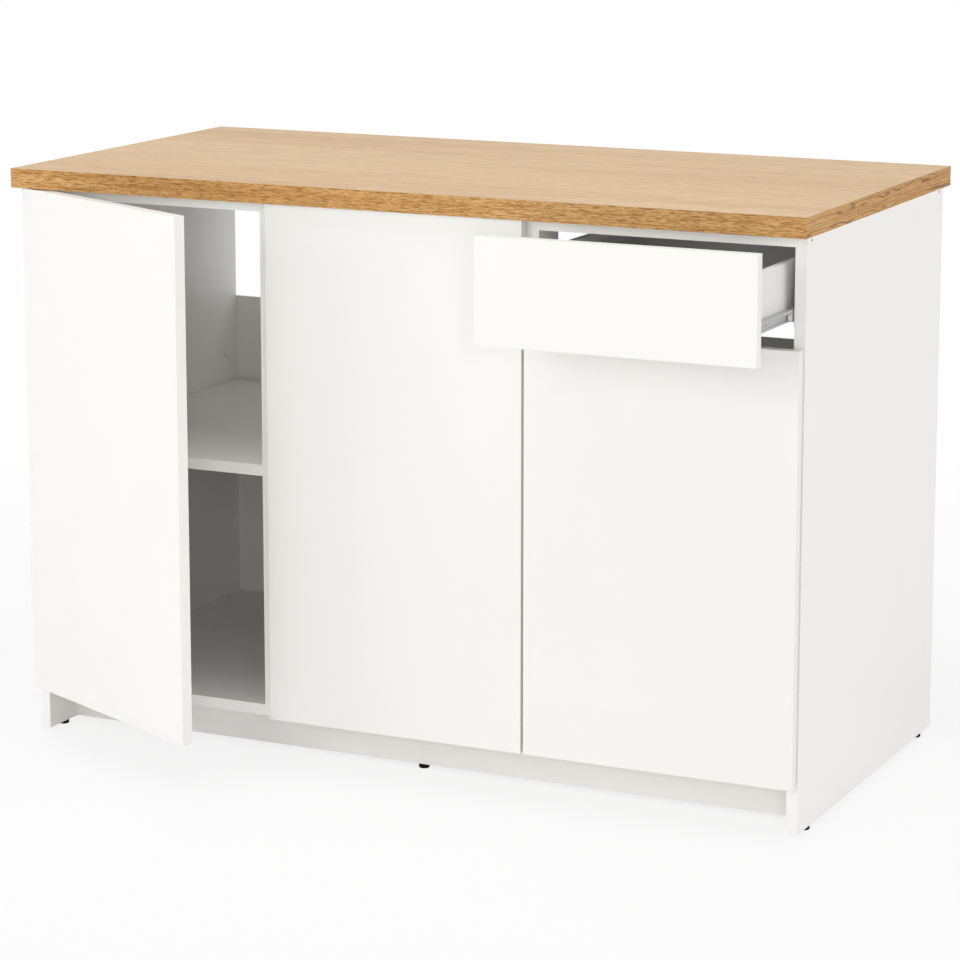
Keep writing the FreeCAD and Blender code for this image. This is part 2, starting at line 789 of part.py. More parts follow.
def make_arm():
    """A pressed channel whose walls reach forward to the two pins."""
    body = doc.addObject("PartDesign::Body", "hinge_arm")
    eye = d.hinge_eye_radius
    rear_x = d.inner_arm_pivot_across
    rear_y_local = d.inner_arm_pivot_back
    front_x = d.outer_arm_pivot_across
    front_y_local = -d.outer_arm_pivot_front
    outline = [
        (d.arm_foot, d.arm_rear),
        (d.arm_top, d.arm_rear),
        (d.arm_top, d.plate_front - eye),
        (rear_x + SHOULDER * eye, rear_y_local + 2 * eye),
        (rear_x + eye, rear_y_local),
        (rear_x, rear_y_local - eye),
        (front_x + eye, rear_y_local - NECK * eye),
        (front_x + eye, front_y_local),
        (front_x - eye, front_y_local),
        (front_x - THROAT * eye, 0),
        (d.arm_top - THROAT * eye, d.plate_front / 2),
        (d.arm_foot, d.plate_front),
    ]
    pad(body, "arm_walls", polygon(body, "arm_outline", "XY_Plane", outline), 2 * arm_high, midplane=True)
    eyes = [(rear_x, rear_y_local, eye), (front_x, front_y_local, eye)]
    pad(body, "arm_eyes", circles(body, "arm_eye_outline", "XY_Plane", eyes), 2 * arm_high, midplane=True)
    web_x = d.arm_top - d.arm_wall
    far = rear_x + BEYOND * eye
    near = front_y_local - BEYOND * eye
    inside = [
        (0, d.arm_rear + eye),
        (web_x, d.arm_rear + eye),
        (web_x, d.plate_front - eye),
        (far, d.plate_front - eye),
        (far, near),
        (0, near),
    ]
    inside_sketch = polygon(body, "arm_inside_outline", "XY_Plane", inside)
    pocket(body, "arm_inside", inside_sketch, 2 * arm_low, midplane=True)
    bore = d.hinge_pin_radius + fit
    bores = [(rear_x, rear_y_local, bore), (front_x, front_y_local, bore)]
    bore_sketch = circles(body, "arm_bore_outline", "XY_Plane", bores)
    pocket(body, "arm_bores", bore_sketch, 4 * arm_high, midplane=True)
    screw_holes = []
    for name, setback in ARM_SCREWS.items():
        spot = (d.arm_top, setback, 0)
        screw_holes.append(rod(f"arm_{name}_hole", spot, "-x", d.screw_radius + 2 * fit, d.arm_top))
    return cut("arm_drilled", body, screw_holes)


def make_cup():
    """A round cup with a flange and two screw wings, and the pins across its slot."""
    back = -d.door_gap
    centre = (cup_centre, back, as_size(0))
    shell = rod("cup_shell", centre, "-y", d.cup_radius, d.cup_depth)
    rim = rod("cup_rim", centre, "y", d.cup_radius + 1, d.cup_flange)
    wing_x = cup_centre + d.cup_screw_offset
    wing_round = d.cup_wing_width / 2
    straight = d.cup_wing - wing_round
    wings = [block("cup_wings", (wing_x - wing_round, wing_x + wing_round), (back, back + d.cup_flange),
                   (-straight, straight))]
    for sign in (-1, 1):
        end = (wing_x, back, sign * straight)
        wings.append(rod(f"cup_wing_end_{sign + 1}", end, "y", wing_round, d.cup_flange))
    blank = fused("cup_blank", [shell, rim, *wings])
    floor = back - d.cup_depth + d.cup_wall
    bowl = rod("cup_bowl", (cup_centre, floor, 0), "y", d.cup_radius - d.cup_wall, d.cup_depth + d.cup_flange)
    reach = 2 * d.cup_radius
    sides = block("cup_slot", (cup_centre - reach, cup_centre + reach), (floor, floor + reach),
                  (-d.cup_slot / 2, d.cup_slot / 2))
    hollow = doc.addObject("Part::Common", "cup_hollow")
    hollow.Base = bowl
    hollow.Tool = sides
    pin_reach = d.cup_slot / 2 + d.cup_pin_seat
    inner_xy = (cup_centre - d.inner_cup_pivot_side, back - d.inner_cup_pivot_depth)
    outer_xy = (cup_centre - d.outer_cup_pivot_side, back - d.outer_cup_pivot_depth)
    pins = [
        rod("inner_cup_pin_upper", (*inner_xy, inner_low), "z", d.hinge_pin_radius, pin_reach - inner_low),
        rod("inner_cup_pin_lower", (*inner_xy, -pin_reach), "z", d.hinge_pin_radius, pin_reach - inner_low),
        rod("outer_cup_pin", (*outer_xy, -pin_reach), "z", d.hinge_pin_radius, 2 * pin_reach),
    ]
    bore_radius = d.hinge_pin_radius + fit
    bores = [
        rod(f"cup_bore_{number}", (*spot, -pin_reach - fit), "z", bore_radius, 2 * pin_reach + 2 * fit)
        for number, spot in enumerate((inner_xy, outer_xy))
    ]
    screws = []
    screw_holes = []
    for sign in (-1, 1):
        spot = (wing_x, back + d.cup_flange, sign * d.cup_screw_spread / 2)
        screws.append(screw(f"cup_screw_{sign + 1}", spot, "-y", d.short_screw_length))
        screw_holes.append(screw_hole(f"cup_screw_hole_{sign + 1}", spot, "-y", d.short_screw_length))
    cup = cut("hinge_cup", blank, [hollow, *bores, *screw_holes])
    return {"cup": [cup], "cup_pins": pins, "cup_screws": screws}


def make_doors():
    """Three doors on two hinges each, the left one at its open angle."""
    masters = make_hinge_masters()
    shared = {"plate": [], "arm": [], "arm_pins": [], "plate_screws": [], "arm_screws": []}
    doors = {
        "left": (-inner_x, 1, -half_width, hinge_high, front_top, "side_panel_left", d.left_door_angle.value),
        "middle": (-(seam_x - d.board), 1, -seam_x, hinge_high, front_top, "divider_left_inner", 0),
        "right": (inner_x, -1, seam_x, right_hinge_high, right_door_top, "side_panel_right", 0),
    }
    for name, (face, hand, left_edge, high, top, carrier, angle) in doors.items():
        facing = Rotation() if hand > 0 else Rotation(Vector(0, 1, 0), 180)
        swing = door_swing(angle)
        moving = {kind: [] for kind in ("inner_link", "outer_link", "cup", "cup_pins", "cup_screws")}
        door_cutters = []
        for level, z in (("low", hinge_low), ("high", high)):
            tag = f"{name}_{level}"
            frame = Placement(Vector(face.value, front_y.value, z.value), facing)
            places = {
                "inner_link": inner_link_place(angle),
                "outer_link": outer_link_place(angle),
                "cup": swing,
                "cup_pins": swing,
                "cup_screws": swing,
            }
            for kind, place in places.items():
                for number, master in enumerate(masters[kind]):
                    copy = copy_at(f"{tag}_{kind}_{number}", master, frame.multiply(place))
                    moving[kind].append(copy)
            for kind in ("plate", "arm", "arm_pins"):
                for number, master in enumerate(masters[kind]):
                    shared[kind].append(copy_at(f"{tag}_{kind}_{number}", master, frame))
            cup_x = face + hand * cup_centre
            door_cutters.append(
                rod(f"{tag}_cup_hole", (cup_x, door_back, z), "-y", d.cup_radius + fit, d.cup_depth + fit))
            into_board = "-x" if hand > 0 else "x"
            for sign in (-1, 1):
                screw_x = face + hand * (cup_centre + d.cup_screw_offset)
                spot = (screw_x, door_back, z + sign * d.cup_screw_spread / 2)
                depth = d.short_screw_length - d.cup_flange + 3 * fit
                # the wing of the cup is as thick as half the head, so the rest of the head is sunk here
                door_cutters.append(screw_hole(f"{tag}_door_screw_{sign + 1}", spot, "-y", depth))
                spot = (face + hand * d.plate_thick, front_y + d.plate_screw_setback,
                        z + sign * d.plate_screw_spread / 2)
                plate_screw = f"{tag}_plate_screw_{sign + 1}"
                shared["plate_screws"].append(
                    drive_screw(plate_screw, spot, into_board, d.short_screw_length, [carrier]))
            for kind, setback in ARM_SCREWS.items():
                spot = (face + hand * d.arm_top, front_y + setback, z)
                out_of_board = "x" if hand > 0 else "-x"
                head = rod(f"{tag}_{kind}_head", spot, out_of_board, d.screw_head_radius, d.screw_head)
                shank = rod(f"{tag}_{kind}_shank", spot, into_board, d.screw_radius, d.arm_top - d.arm_wall)
                shared["arm_screws"].append(fused(f"{tag}_{kind}_screw", [head, shank]))
        x = (left_edge + d.door_seam / 2, left_edge + bay_pitch - d.door_seam / 2)
        blank = block(f"door_{name}_board", x, (door_front, door_back), (d.door_lift, top))
        closed = cut(f"door_{name}_closed", blank, door_cutters)
        frame = Placement(Vector(face.value, front_y.value, 0), facing)
        place = frame.multiply(swing).multiply(frame.inverse())
        node(f"door_{name}", copy_at(f"door_{name}_hung", closed, place))
        group(f"hinge_cups_{name}", moving["cup"])
        group(f"hinge_cup_pins_{name}", moving["cup_pins"])
        group(f"hinge_cup_screws_{name}", moving["cup_screws"])
        group(f"inner_links_{name}", moving["inner_link"])
        group(f"outer_links_{name}", moving["outer_link"])
    group("hinge_plates", shared["plate"])
    group("hinge_arms", shared["arm"])
    group("hinge_arm_pins", shared["arm_pins"])
    group("hinge_screws", shared["plate_screws"] + shared["arm_screws"])


# drawer and runners

drawer_low = drawer_bottom + d.drawer_side_rise
runner_low = drawer_low - d.runner_drop
rail_top = drawer_low + d.drawer_rail_height
front_roller_z = rail_top - d.sheet_steel - d.roller_clear - d.front_roller_radius
rear_roller_z = runner_low + d.runner_height / 2
rear_roller_radius = d.runner_height / 2 - d.sheet_steel - d.roller_clear
DRAWER_SIDES = (("left", seam_x + d.board, 1), ("right", inner_x, -1))
# places along the runner and up the bracket, as shares of their length
RUNNER_SCREWS = (0.15, 0.5, 0.9)
BRACKET_SCREWS = (0.25, 0.75)


def channel(name, points, length):
    """A folded steel strip along Y, from an outline of inward distance and height."""
    body = doc.addObject("PartDesign::Body", name)
    sketch = polygon(body, name + "_outline", "XZ_Plane", points)
    pad(body, name + "_strip", sketch, length, reverse=True)
    return body


def make_runners():
    """The cabinet runners, with a bare tab in front for the roller."""
    screws = []
    axles = []
    rollers = []
    steel = d.sheet_steel
    low = runner_low
    high = runner_low + d.runner_height
    start = front_y + d.runner_front
    for side, face, hand in DRAWER_SIDES:
        carrier = "divider_right_outer" if side == "left" else "side_panel_right"
        outline = [
            (0, low),
            (hand * d.runner_flange, low),
            (hand * d.runner_flange, low + steel),
            (hand * steel, low + steel),
            (hand * steel, high - steel),
            (hand * d.runner_flange, high - steel),
            (hand * d.runner_flange, high),
            (0, high),
        ]
        strip = channel(f"runner_{side}_channel", outline, d.runner_length - d.runner_tab)
        put(strip, (face, start + d.runner_tab, 0))
        tab = block(f"runner_{side}_tab", (face, face + hand * steel), (start, start + d.runner_tab),
                    (low, high))
        cutters = []
        into_board = "-x" if hand > 0 else "x"
        for number, share in enumerate(RUNNER_SCREWS):
            spot = (face + hand * steel, start + d.runner_length * share, rear_roller_z)
            name = f"runner_{side}_screw_{number}"
            screws.append(drive_screw(name, spot, into_board, d.short_screw_length, [carrier]))
            cutters.append(screw_hole(name + "_hole", spot, into_board, d.short_screw_length))
        spot = (face, front_y + d.front_roller_setback, front_roller_z)
        out_of_board = "x" if hand > 0 else "-x"
        cutters.append(rod(f"runner_{side}_axle_hole", spot, out_of_board, d.axle_radius + fit, 2 * steel))
        blank = fused(f"runner_{side}_blank", [strip, tab])
        node(f"runner_{side}", cut(f"runner_{side}_drilled", blank, cutters))
        axles.append(make_axle(f"front_axle_{side}", spot, hand))
        rollers.append(make_roller(f"front_roller_{side}", spot, hand, d.front_roller_radius))
    group("runner_screws", screws)
    group("front_roller_axles", axles)
    group("front_rollers", rollers)


def make_axle(name, spot, hand):
    """A rivet from a steel face inwards, with a head that keeps the roller on."""
    inwards = "x" if hand > 0 else "-x"
    length = d.roller_inset + d.roller_width
    shank = rod(name + "_shank", spot, inwards, d.axle_radius, length + fit)
    head = rod(name + "_head", along(spot, inwards, length + fit), inwards, 2 * d.axle_radius, d.axle_head)
    return fused(name, [shank, head])


def make_roller(name, spot, hand, radius):
    """A dished plastic roller on its axle."""
    inwards = "x" if hand > 0 else "-x"
    start = along(spot, inwards, d.roller_inset)
    tyre = rod(name + "_tyre", start, inwards, radius, d.roller_width)
    bore = rod(name + "_bore", start, inwards, d.axle_radius + fit, d.roller_width)
    face = along(start, inwards, d.roller_width - d.roller_recess)
    dish = rod(name + "_dish", face, inwards, radius - d.roller_rim, d.roller_recess)
    hub = rod(name + "_hub", face, inwards, d.axle_radius + d.roller_rim, d.roller_recess)
    recess = cut(name + "_recess", dish, [hub])
    return cut(name, tyre, [bore, recess])


def make_drawer():
    """The drawer, moved out of the cabinet by its rest travel."""
    back = door_back - d.drawer_open
    steel = d.sheet_steel
    low = drawer_low
    outer = d.side_clearance
    axles = []
    rollers = []
    brackets = []
    screws = []
    front_cutters = []
    for side, face, hand in DRAWER_SIDES:
        wall = face + hand * outer
        inner_wall = outer + steel
        rim_end = outer + d.drawer_rim
        top = low + d.drawer_side_height
        lip = top - d.drawer_rim_lip
        side_outline = [
            (hand * outer, low),
            (hand * (outer + d.drawer_ledge), low),
            (hand * (outer + d.drawer_ledge), low + steel),
            (hand * inner_wall, low + steel),
            (hand * inner_wall, top - steel),
            (hand * (rim_end - steel), top - steel),
            (hand * (rim_end - steel), lip),
            (hand * rim_end, lip),
            (hand * rim_end, top),
            (hand * outer, top),
        ]
        body = channel(f"drawer_side_{side}_strip", side_outline, d.drawer_length)
        round_rim(body, side, top)
        put(body, (face, back, 0))
        node(f"drawer_side_{side}", body)

        node(f"drawer_rail_{side}", make_drawer_rail(side, face, hand, back))
        axle_spot = (wall, back + d.drawer_length - d.drawer_tab / 2, rear_roller_z)
        axles.append(make_axle(f"rear_axle_{side}", axle_spot, -hand))
        rollers.append(make_roller(f"rear_roller_{side}", axle_spot, -hand, rear_roller_radius))

        bracket, bracket_screws, cutters = make_bracket(side, face, hand, back)
        brackets.append(bracket)
        screws += bracket_screws
        front_cutters += cutters
    group("rear_roller_axles", axles)
    group("rear_rollers", rollers)
    group("drawer_brackets", brackets)
    group("drawer_screws", screws)

    x = (seam_x + d.door_seam / 2, half_width - d.door_seam / 2)
    front = block("drawer_front_board", x, (back - d.board, back), (drawer_bottom, front_top))
    node("drawer_front", cut("drawer_front_drilled", front, front_cutters))
    inset = outer + steel + d.drawer_floor_gap
    x = (seam_x + d.board + inset, inner_x - inset)
    floor_z = low + steel
    back_y = (back + d.drawer_length - d.drawer_tab, back + d.drawer_length - d.drawer_tab + d.board)
    floor_y = (back + d.drawer_floor_gap, back_y[0])
    node("drawer_floor", block("drawer_floor_board", x, floor_y, (floor_z, floor_z + d.drawer_floor_thick)))
    node("drawer_back", block("drawer_back_board", x, back_y, (floor_z, floor_z + d.drawer_back_height)))


def make_drawer_rail(side, face, hand, back):
    """The rail on a drawer side: a hooked flange above the front roller, a web and a hem."""
    steel = d.sheet_steel
    outer = d.side_clearance
    web = outer - steel
    hook = outer - d.drawer_rail_flange
    hem = web - d.drawer_rail_hem_thick
    hem_top = drawer_low + d.drawer_rail_hem
    hook_low = rail_top - steel - d.drawer_rail_lip
    outline = [
        (hand * outer, drawer_low),
        (hand * outer, rail_top),
        (hand * hook, rail_top),
        (hand * hook, hook_low),
        (hand * (hook + steel), hook_low),
        (hand * (hook + steel), rail_top - steel),
        (hand * web, rail_top - steel),
        (hand * web, hem_top),
        (hand * hem, hem_top),
        (hand * hem, drawer_low),
    ]
    strip = channel(f"drawer_rail_{side}_strip", outline, d.drawer_length - d.drawer_tab)
    put(strip, (face, back, 0))
    rear = back + d.drawer_length
    web_x = (face + hand * web, face + hand * outer)
    tab = block(f"drawer_rail_{side}_tab", web_x, (rear - d.drawer_tab, rear), (drawer_low, rail_top))
    towards_board = "-x" if hand > 0 else "x"
    middle_z = (drawer_low + rail_top) / 2
    bores = {
        "axle": (rear - d.drawer_tab / 2, rear_roller_z, d.axle_radius + fit),
        "front": (back + d.drawer_rail_hole_setback, middle_z, d.drawer_rail_hole_radius),
        "middle": (back + d.drawer_length / 2, middle_z, d.drawer_rail_hole_radius),
    }
    cutters = []
    for name, (y, z, radius) in bores.items():
        spot = (face + hand * outer, y, z)
        cutters.append(rod(f"drawer_rail_{side}_{name}_bore", spot, towards_board, radius, 2 * steel))
    blank = fused(f"drawer_rail_{side}_blank", [strip, tab])
    return cut(f"drawer_rail_{side}_drilled", blank, cutters)


def round_rim(body, side, top):
    """Round the two long edges along the top of a drawer side."""
    doc.recompute()
    strip = body.Tip
    picked = []
    for number, edge in enumerate(body.Shape.Edges, start=1):
        middle = edge.BoundBox.Center
        if edge.BoundBox.YLength > d.drawer_length.value / 2 and abs(middle.z - top.value) < 0.01:
            picked.append(f"Edge{number}")
    fillet = body.newObject("PartDesign::Fillet", f"drawer_side_{side}_rim")
    fillet.Base = (strip, picked)
    bind(fillet, Radius=d.drawer_rim_radius)


def make_bracket(side, face, hand, back):
    """An angle that joins a drawer side to the drawer front, with its two screws."""
    wall = d.side_clearance + d.sheet_steel
    low = drawer_low + d.sheet_steel + d.drawer_floor_thick + d.bracket_lift
    outline = [
        (hand * wall, 0),
        (hand * (wall + d.bracket_reach), 0),
        (hand * (wall + d.bracket_reach), d.bracket_thick),
        (hand * (wall + d.bracket_thick), d.bracket_thick),
        (hand * (wall + d.bracket_thick), d.bracket_leg),
        (hand * wall, d.bracket_leg),
    ]
    body = doc.addObject("PartDesign::Body", f"bracket_{side}_angle")
    sketch = polygon(body, f"bracket_{side}_outline", "XY_Plane", outline)
    pad(body, f"bracket_{side}_pad", sketch, d.bracket_height)
    put(body, (face, back, low))
    screws = []
    bracket_holes = []
    front_holes = []
    for number, share in enumerate(BRACKET_SCREWS):
        spot = (face + hand * (wall + d.bracket_reach / 2 + d.bracket_thick / 2), back + d.bracket_thick,
                low + d.bracket_height * share)
        name = f"bracket_{side}_screw_{number}"
        screws.append(screw(name, spot, "-y", d.short_screw_length))
        bracket_holes.append(screw_hole(name + "_bracket_hole", spot, "-y", d.short_screw_length))
        front_holes.append(screw_hole(name + "_front_hole", spot, "-y", d.short_screw_length))
    return cut(f"bracket_{side}", body, bracket_holes), screws, front_holes


def check_and_write():
    """Stop on any failed object, then write each sub-part to its own file."""
    doc.recompute()
    failed = [obj.Label for obj in doc.Objects if {"Invalid", "Error"} & set(obj.State)]
    if failed:
        raise RuntimeError("failed objects: " + ", ".join(failed))
    shapes = {}
    for obj in nodes:
        shape = Part.getShape(obj)
        if shape.isNull() or not shape.isValid() or not shape.Solids:
            raise RuntimeError("no valid solid in " + obj.Label)
        shapes[obj.Label] = shape
    os.makedirs("parts", exist_ok=True)
    for label, shape in shapes.items():
        shape.exportStep(os.path.join("parts", label + ".step"))
    print(len(shapes), "sub-parts,", sum(len(shape.Solids) for shape in shapes.values()), "solids")


make_fasteners()
make_back_nails()
make_shelf()
make_glides()
make_doors()
make_runners()
make_carcass()
make_worktop()
make_drawer()
check_and_write()
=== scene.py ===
"""Looks of the kitchen base cabinet: materials, floor, light and camera."""

import json
import math

import bmesh
import bpy
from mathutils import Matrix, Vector


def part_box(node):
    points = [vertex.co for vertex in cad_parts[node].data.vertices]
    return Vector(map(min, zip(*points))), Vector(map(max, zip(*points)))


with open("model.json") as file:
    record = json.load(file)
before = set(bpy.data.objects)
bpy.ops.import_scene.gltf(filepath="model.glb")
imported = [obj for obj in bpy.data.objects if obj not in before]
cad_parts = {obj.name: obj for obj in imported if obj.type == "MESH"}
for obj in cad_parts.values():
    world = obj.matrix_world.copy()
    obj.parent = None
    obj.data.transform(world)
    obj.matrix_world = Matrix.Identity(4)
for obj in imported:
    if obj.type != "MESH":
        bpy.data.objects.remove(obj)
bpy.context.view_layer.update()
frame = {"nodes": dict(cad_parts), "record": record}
scene = bpy.context.scene
nodes = frame["nodes"]

WHITE = (1.0, 1.0, 1.0)
# most of a noise's values lie between these two
NOISE_LOW, NOISE_HIGH = 0.3, 0.7
# the noise's values where a broad band of the wood is dark, middling and light
BAND_STOPS = (0.32, 0.5, 0.68)
# radians that a wave texture makes for one unit of its scale
WAVE_RADIANS = 20.0
# the sockets of a mix node that count when it mixes colours
MIX_SHARE, MIX_FIRST, MIX_SECOND, MIX_RESULT = 0, 6, 7, 2


class Surface:
    """A procedural material that is built up node by node."""

    def __init__(self, name, colour, roughness, metallic=0.0, shine=0.5):
        self.material = bpy.data.materials.new(name)
        self.material.use_nodes = True
        self.tree = self.material.node_tree
        self.shader = self.tree.nodes["Principled BSDF"]
        self.shader.inputs["Base Color"].default_value = (*colour, 1.0)
        self.shader.inputs["Roughness"].default_value = roughness
        self.shader.inputs["Metallic"].default_value = metallic
        self.shader.inputs["Specular IOR Level"].default_value = shine
        self.place = self.node("ShaderNodeTexCoord").outputs["Object"]

    def node(self, kind, values=None, **settings):
        """A new node with its settings and the values of its inputs."""
        made = self.tree.nodes.new(kind)
        for name, value in settings.items():
            setattr(made, name, value)
        for name, value in (values or {}).items():
            made.inputs[name].default_value = value
        return made

    def link(self, source, target):
        self.tree.links.new(source, target)

    def put(self, value, socket):
        """Link another node's output to a socket, or set the socket to a number or a colour."""
        if isinstance(value, bpy.types.NodeSocket):
            self.link(value, socket)
        elif isinstance(value, tuple):
            socket.default_value = (*value, 1.0)
        else:
            socket.default_value = value

    def stretched(self, place, scale):
        """A place, scaled on each axis."""
        mapping = self.node("ShaderNodeMapping", {"Scale": scale})
        self.link(place, mapping.inputs["Vector"])
        return mapping.outputs["Vector"]

    def grained(self, place, length, width):
        """A place, counted in lengths along its first axis and in widths across it."""
        return self.stretched(place, (1.0 / length, 1.0 / width, 1.0 / width))

    def noise(self, place, detail, scale=1.0, distortion=0.0):
        values = {"Scale": scale, "Detail": detail, "Distortion": distortion}
        made = self.node("ShaderNodeTexNoise", values)
        self.link(place, made.inputs["Vector"])
        return made.outputs["Fac"]

    def ramp(self, value, stops):
        """A colour ramp from pairs of position and colour."""
        made = self.node("ShaderNodeValToRGB")
        elements = made.color_ramp.elements
        for position, _ in stops[len(elements):]:
            elements.new(position)
        for element, (position, colour) in zip(elements, stops):
            element.position = position
            element.color = (*colour, 1.0)
        self.link(value, made.inputs["Fac"])
        return made.outputs["Color"]

    def spread(self, value, low, high, start=NOISE_LOW, end=NOISE_HIGH):
        """A value moved from one range to another."""
        values = {"From Min": start, "From Max": end, "To Min": low, "To Max": high}
        made = self.node("ShaderNodeMapRange", values)
        self.link(value, made.inputs["Value"])
        return made.outputs["Result"]

    def mixed(self, kind, share, first, second):
        """Two colours blended by a share."""
        made = self.node("ShaderNodeMix", data_type="RGBA", blend_type=kind)
        for index, value in ((MIX_SHARE, share), (MIX_FIRST, first), (MIX_SECOND, second)):
            self.put(value, made.inputs[index])
        return made.outputs[MIX_RESULT]

    def maths(self, operation, *values):
        """One sum of one or two values."""
        made = self.node("ShaderNodeMath", operation=operation)
        for socket, value in zip(made.inputs, values):
            self.put(value, socket)
        return made.outputs["Value"]

    def facing(self, axis):
        """How far the surface looks along an axis, from -1 to 1."""
        split = self.node("ShaderNodeSeparateXYZ")
        self.link(self.node("ShaderNodeNewGeometry").outputs["Normal"], split.inputs["Vector"])
        return split.outputs[axis]

    def colour(self, source):
        self.link(source, self.shader.inputs["Base Color"])

    def tone(self, marks, shade, colour):
        """A colour that wavers towards a shade of itself."""
        self.colour(self.ramp(marks, [(NOISE_LOW, shade), (NOISE_HIGH, colour)]))

    def skin(self, marks, smooth, rough, strength, distance):
        """Marks that make the gloss and the height of the surface uneven."""
        self.link(self.spread(marks, smooth, rough), self.shader.inputs["Roughness"])
        bump = self.node("ShaderNodeBump", {"Strength": strength, "Distance": distance})
        self.link(marks, bump.inputs["Height"])
        self.link(bump.outputs["Normal"], self.shader.inputs["Normal"])


def melamine(name, colour, shade, roughness, grain=1400.0, shine=0.5, uneven=0.05):
    """Smooth white facing with a barely uneven tone and a fine pearl texture."""
    surface = Surface(name, colour, roughness, shine=shine)
    surface.tone(surface.noise(surface.place, detail=3.0, scale=5.0), shade, colour)
    pearl = surface.noise(surface.place, detail=2.0, scale=grain)
    surface.skin(pearl, roughness - uneven, roughness + uneven, strength=0.05, distance=0.0002)
    return surface.material


def steel(name, colour, shade, roughness, metallic, streak, uneven=0.08):
    """Sheet or plated steel with fine rolling marks along its length."""
    surface = Surface(name, colour, roughness, metallic)
    marks = surface.noise(surface.stretched(surface.place, streak), detail=3.0)
    surface.tone(marks, shade, colour)
    surface.skin(marks, roughness - uneven, roughness + uneven, strength=0.04, distance=0.0001)
    return surface.material


def moulded(name, colour, shade, roughness, shine, uneven=0.08):
    """Moulded plastic with a spark-eroded skin."""
    surface = Surface(name, colour, roughness, shine=shine)
    surface.tone(surface.noise(surface.place, detail=2.0, scale=90.0), shade, colour)
    eroded = surface.noise(surface.place, detail=2.0, scale=2600.0)
    surface.skin(eroded, roughness - uneven, roughness + uneven, strength=0.15, distance=0.0001)
    return surface.material


def growth_rings(surface, place, spacing, run, wander):
    """Wandering lines that lie one above the other, as where a board is cut across its rings."""
    unit = 2.0 * math.pi / WAVE_RADIANS
    values = {"Scale": unit, "Distortion": wander, "Detail": 1.0, "Detail Scale": 0.5 / unit}
    wave = surface.node("ShaderNodeTexWave", values, wave_type="BANDS", bands_direction="Z")
    surface.link(surface.grained(place, run, spacing), wave.inputs["Vector"])
    return wave.outputs["Fac"]


def oak_grain(surface, place, look):
    """Colour and fibres of oak-effect foil whose grain runs along the first axis of place."""
    def streaks(kind, **settings):
        return surface.noise(surface.grained(place, *look[kind]), **settings)

    bands = streaks("bands", detail=3.0, distortion=0.6)
    colour = surface.ramp(bands, list(zip(BAND_STOPS, look["tones"])))
    if "rings" in look:
        lines = growth_rings(surface, place, *look["rings"])
    else:
        lines = streaks("figure", detail=2.0, distortion=0.8)
    fibres = streaks("fibres", detail=2.0, distortion=0.3)
    pores = streaks("pores", detail=1.0)
    for name, marks in (("line", lines), ("thread", fibres), ("pore", pores)):
        dark, dark_until, plain_from = look[name]
        layer = surface.ramp(marks, [(dark_until, dark), (plain_from, WHITE)])
        colour = surface.mixed("MULTIPLY", 1.0, colour, layer)
    return colour, fibres


def oak(name, look, end_look=None, underside=None):
    """Oak-effect foil, with another cut of the wood at the two ends and a plain underside if given."""
    surface = Surface(name, look["tones"][1], roughness=0.45, shine=look["shine"])
    colour, fibres = oak_grain(surface, surface.place, look)
    if end_look:
        split = surface.node("ShaderNodeSeparateXYZ")
        surface.link(surface.place, split.inputs["Vector"])
        crossed = surface.node("ShaderNodeCombineXYZ")
        for source, target in (("Y", "X"), ("X", "Y"), ("Z", "Z")):
            surface.link(split.outputs[source], crossed.inputs[target])
        end_colour = oak_grain(surface, crossed.outputs["Vector"], end_look)[0]
        at_end = surface.maths("ABSOLUTE", surface.facing("X"))
        colour = surface.mixed("MIX", at_end, colour, end_colour)
    if underside:
        below = surface.spread(surface.facing("Z"), low=1.0, high=0.0, start=-0.9, end=-0.5)
        colour = surface.mixed("MIX", below, colour, underside)
    surface.colour(colour)
    surface.skin(fibres, smooth=0.40, rough=0.52, strength=0.12, distance=0.0003)
    return surface.material


# tones from dark to light, and the lengths and widths of the marks in metres; rings have a spacing, a
# run and a wander instead; each kind of mark has its shade, the value below which it is full and the
# value above which it is gone
OAK_TOP = {
    "tones": [(0.65, 0.433, 0.226), (0.708, 0.486, 0.268), (0.747, 0.53, 0.302)],
    "bands": (0.9, 0.075),
    "figure": (0.040, 0.0044),
    "fibres": (0.075, 0.0022),
    "pores": (0.022, 0.0009),
    "line": ((0.86, 0.82, 0.77), 0.33, 0.50),
    "thread": ((0.85, 0.81, 0.75), 0.34, 0.52),
    "pore": ((0.70, 0.61, 0.50), 0.30, 0.38),
    "shine": 0.3,
}
OAK_EDGE = {
    "tones": [(0.585, 0.316, 0.106), (0.66, 0.382, 0.145), (0.71, 0.432, 0.182)],
    "bands": (0.5, 0.030),
    "figure": (0.070, 0.0026),
    "fibres": (0.018, 0.0010),
    "pores": (0.007, 0.0008),
    "line": ((0.74, 0.65, 0.52), 0.36, 0.48),
    "thread": ((0.54, 0.42, 0.28), 0.37, 0.49),
    "pore": ((0.60, 0.47, 0.33), 0.34, 0.43),
    "shine": 0.2,
}
OAK_END = {
    "tones": [(0.555, 0.29, 0.085), (0.62, 0.345, 0.111), (0.662, 0.39, 0.138)],
    "bands": (0.30, 0.024),
    "rings": (0.0062, 0.055, 12.0),
    "fibres": (0.027, 0.0016),
    "pores": (0.010, 0.0008),
    "line": ((0.48, 0.365, 0.235), 0.0, 0.18),
    "thread": ((0.74, 0.65, 0.53), 0.34, 0.48),
    "pore": ((0.66, 0.55, 0.43), 0.32, 0.42),
}
BEECH = {**OAK_TOP, "tones": [(0.52, 0.36, 0.21), (0.58, 0.41, 0.25), (0.62, 0.45, 0.28)]}
WOODS = {
    "oak_effect_top": {"look": OAK_TOP, "underside": (0.70, 0.69, 0.66)},
    "oak_effect_edge": {"look": OAK_EDGE, "end_look": OAK_END},
    "beech": {"look": BEECH},
}

